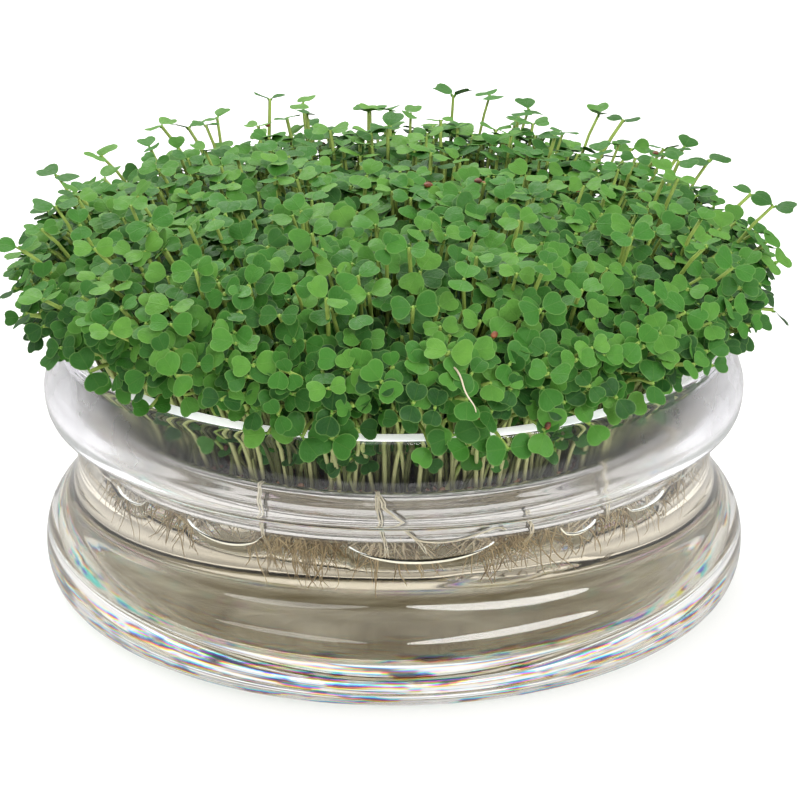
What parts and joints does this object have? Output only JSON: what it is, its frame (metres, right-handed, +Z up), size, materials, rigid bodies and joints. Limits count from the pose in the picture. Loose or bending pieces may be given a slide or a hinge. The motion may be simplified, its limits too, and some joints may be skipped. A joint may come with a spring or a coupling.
{
  "type": "microgreens tray",
  "caption": "Round waisted clear glass sprouting dish with water in its foot, a steel sieve at the waist, a felt of hanging roots and a dense cushion of green seedlings.",
  "frame": {"origin": "centre of the dish's flat underside", "axes": "+Z up along the dish's axis of revolution, +X to the right as seen in the picture, +Y away from the camera"},
  "size_m": [0.1473, 0.1517, 0.0856],
  "materials": {
    "glass": "clear pressed glass, fire polished, fogged inside above the sieve",
    "water": "still water tinted tan by the roots",
    "steel": "polished stainless sheet",
    "roots": "matted pale tan roots and seed husks",
    "sprout": "fresh green seed leaves on pale yellow-green stems"
  },
  "bodies": {
    "root": {"glass_dish": "glass", "water": "water", "sieve_ring": "steel", "sieve_plate": "steel", "root_felt": "roots", "sprouts_0_01": "sprout", "sprouts_1_01": "sprout", "sprouts_1_02": "sprout", "sprouts_1_03": "sprout", "sprouts_1_04": "sprout", "sprouts_1_05": "sprout", "sprouts_1_06": "sprout", "sprouts_2_01": "sprout", "sprouts_2_02": "sprout", "sprouts_2_03": "sprout", "sprouts_2_04": "sprout", "sprouts_2_05": "sprout", "sprouts_2_06": "sprout", "sprouts_2_07": "sprout", "sprouts_2_08": "sprout", "sprouts_2_09": "sprout", "sprouts_2_10": "sprout", "sprouts_2_11": "sprout", "sprouts_2_12": "sprout", "sprouts_3_01": "sprout", "sprouts_3_02": "sprout", "sprouts_3_03": "sprout", "sprouts_3_04": "sprout", "sprouts_3_05": "sprout", "sprouts_3_06": "sprout", "sprouts_3_07": "sprout", "sprouts_3_08": "sprout", "sprouts_3_09": "sprout", "sprouts_3_10": "sprout", "sprouts_3_11": "sprout", "sprouts_3_12": "sprout", "sprouts_3_13": "sprout", "sprouts_3_14": "sprout", "sprouts_3_15": "sprout", "sprouts_3_16": "sprout", "sprouts_3_17": "sprout", "sprouts_3_18": "sprout"}
  },
  "joints": []
}
